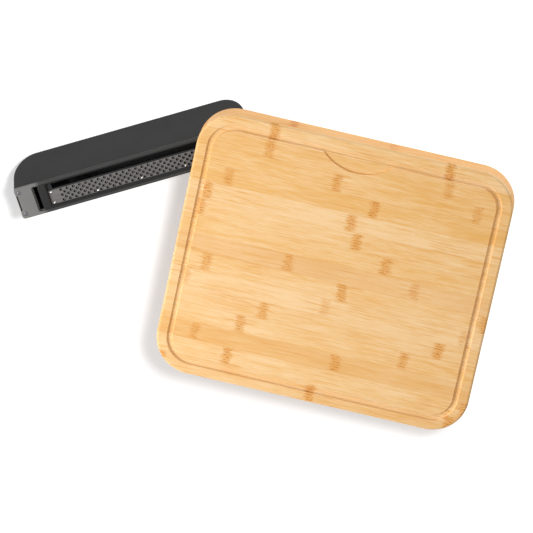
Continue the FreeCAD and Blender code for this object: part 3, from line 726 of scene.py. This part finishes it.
def buildBoardScrews():
    # driven from below, so the screw is turned over before it is copied
    low, high = boxOf("board_screws")
    screw = makeScrew(boardScrew, "boardScrew", high.z - low.z - boardScrew["high"])
    editAll(screw)
    bpy.ops.transform.rotate(value=math.pi, orient_axis="X", orient_type="GLOBAL",
                             center_override=(0, 0, 0))
    leaveEdit()
    rails = ["outer_rail_left", "inner_rail_left", "inner_rail_right", "outer_rail_right"]
    edge = boardScrew["head"] / 2
    places = [((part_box(name)[0].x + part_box(name)[1].x) / 2, y, low.z)
              for name in rails for y in (low.y + edge, high.y - edge)]
    screws = placeCopies(screw, places, "board_cross_screws")
    finishPiece(screws, screwSteel, "base", ["board_screws"])


for tray in trays:
    buildCoverScrews(tray)
buildBoardScrews()
print("screws built")


# what the end of a node's name says about its finish; the rails and ledges are rail bamboo
finishes = {
    "_shell": plastic["shellPlastic"], "_insert_frame": plastic["insertPlastic"],
    "_glides": plastic["glidePlastic"], "_grater_rivets": rivetSteel, "screws": screwSteel,
    "rail_dowels": dowelWood, "board": boardBamboo,
    "back_rail": crossBamboo, "front_block": crossBamboo,
}
for tray in trays:
    finishes[tray + "_cover"] = coverPlastic[tray]
    finishes[tray + "_grater_plate"] = plateSteel[tray]


def finishOf(name):
    if "foot" in name or "bumper" in name:
        return plastic["rubberBlack"]
    return next((finish for end, finish in finishes.items() if name.endswith(end)), railBamboo)


for name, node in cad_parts.items():
    node.data.materials.clear()
    node.data.materials.append(finishOf(name))
print("frame nodes dressed")


studio = {
    "floorWide": 14.0, "floorColour": (0.80, 0.80, 0.80), "floorGlow": 0.45, "sky": 0.36,
    "key": {"place": (-1.35, -0.75, 1.25), "size": 0.8, "power": 36.0},
    "back": {"place": (0.45, 1.90, 0.75), "size": 1.4, "power": 13.0},
    "above": {"place": (0.485, 0.92, 2.10), "size": 0.45, "power": 42.0},
}


def addPathSwitch(tree):
    # 1 for rays from the camera and for mirror and clear rays, 0 for the rays that light things
    path = tree.nodes.new("ShaderNodeLightPath")
    value = path.outputs["Is Camera Ray"]
    for ray in ("Is Glossy Ray", "Is Transmission Ray"):
        most = tree.nodes.new("ShaderNodeMath")
        most.operation = "MAXIMUM"
        tree.links.new(value, most.inputs[0])
        tree.links.new(path.outputs[ray], most.inputs[1])
        value = most.outputs[0]
    return value


def buildFloor():
    bpy.ops.mesh.primitive_plane_add(size=studio["floorWide"], location=(boardMiddle.x, 0, 0))
    floor = bpy.context.object
    floor.name = "floor"
    material = bpy.data.materials.new("floorWhite")
    material.use_nodes = True
    tree = material.node_tree
    tree.nodes.clear()
    matt = tree.nodes.new("ShaderNodeBsdfDiffuse")
    matt.inputs["Color"].default_value = (*studio["floorColour"], 1)
    glow = tree.nodes.new("ShaderNodeEmission")
    strength = tree.nodes.new("ShaderNodeMath")
    strength.operation = "MULTIPLY"
    strength.inputs[1].default_value = studio["floorGlow"]
    tree.links.new(addPathSwitch(tree), strength.inputs[0])
    tree.links.new(strength.outputs[0], glow.inputs["Strength"])
    both = tree.nodes.new("ShaderNodeAddShader")
    tree.links.new(matt.outputs[0], both.inputs[0])
    tree.links.new(glow.outputs[0], both.inputs[1])
    output = tree.nodes.new("ShaderNodeOutputMaterial")
    tree.links.new(both.outputs[0], output.inputs["Surface"])
    floor.data.materials.append(material)
    return floor


def buildSky():
    # plain white to look at, and a weaker white to light by
    world = bpy.data.worlds.new("studioSky")
    bpy.context.scene.world = world
    world.use_nodes = True
    tree = world.node_tree
    tree.nodes.clear()
    either = tree.nodes.new("ShaderNodeMixShader")
    tree.links.new(addPathSwitch(tree), either.inputs["Fac"])
    for socket, strength in ((1, studio["sky"]), (2, 1.0)):
        white = tree.nodes.new("ShaderNodeBackground")
        white.inputs["Color"].default_value = (1, 1, 1, 1)
        white.inputs["Strength"].default_value = strength
        tree.links.new(white.outputs[0], either.inputs[socket])
    output = tree.nodes.new("ShaderNodeOutputWorld")
    tree.links.new(either.outputs[0], output.inputs["Surface"])


def addLamp(name, floor, floorOnly):
    # a lamp lights either the floor alone or everything but the floor
    place = Vector(studio[name]["place"])
    bpy.ops.object.light_add(type="AREA", location=place)
    lamp = bpy.context.object
    lamp.name = name + "Lamp"
    lamp.data.size = studio[name]["size"]
    lamp.data.energy = studio[name]["power"]
    aim = Vector((boardMiddle.x, 0, boardHigh.z)) - place
    lamp.rotation_euler = aim.to_track_quat("-Z", "Y").to_euler()
    reach = bpy.data.collections.new(name + "Reach")
    reach.objects.link(floor)
    lamp.light_linking.receiver_collection = reach
    if not floorOnly:
        reach.collection_objects[0].light_linking.link_state = "EXCLUDE"


camera = {
    "aim": (0.02612, -0.009816, 0.091), "away": 6.0066, "seesTo": 40,
    "azimuth": 173.228, "elevation": 70.475, "roll": 12.260, "lens": 343.42,
}


def buildCamera():
    azimuth, elevation = math.radians(camera["azimuth"]), math.radians(camera["elevation"])
    towards = Vector((math.sin(azimuth) * math.cos(elevation),
                      -math.cos(azimuth) * math.cos(elevation), math.sin(elevation)))
    right = Vector((0, 1, 0)).cross(towards).normalized()
    upward = towards.cross(right)
    level = Matrix((right, upward, towards)).transposed()
    turned = level @ Matrix.Rotation(math.radians(camera["roll"]), 3, "Z")
    bpy.ops.object.camera_add(location=Vector(camera["aim"]) + camera["away"] * towards,
                              rotation=turned.to_euler())
    eye = bpy.context.object
    eye.data.lens = camera["lens"]
    eye.data.clip_end = camera["seesTo"]
    bpy.context.scene.camera = eye


floor = buildFloor()
buildSky()
addLamp("key", floor, False)
addLamp("back", floor, False)
addLamp("above", floor, True)
buildCamera()
bpy.context.scene.view_settings.view_transform = "Standard"
print("studio ready")
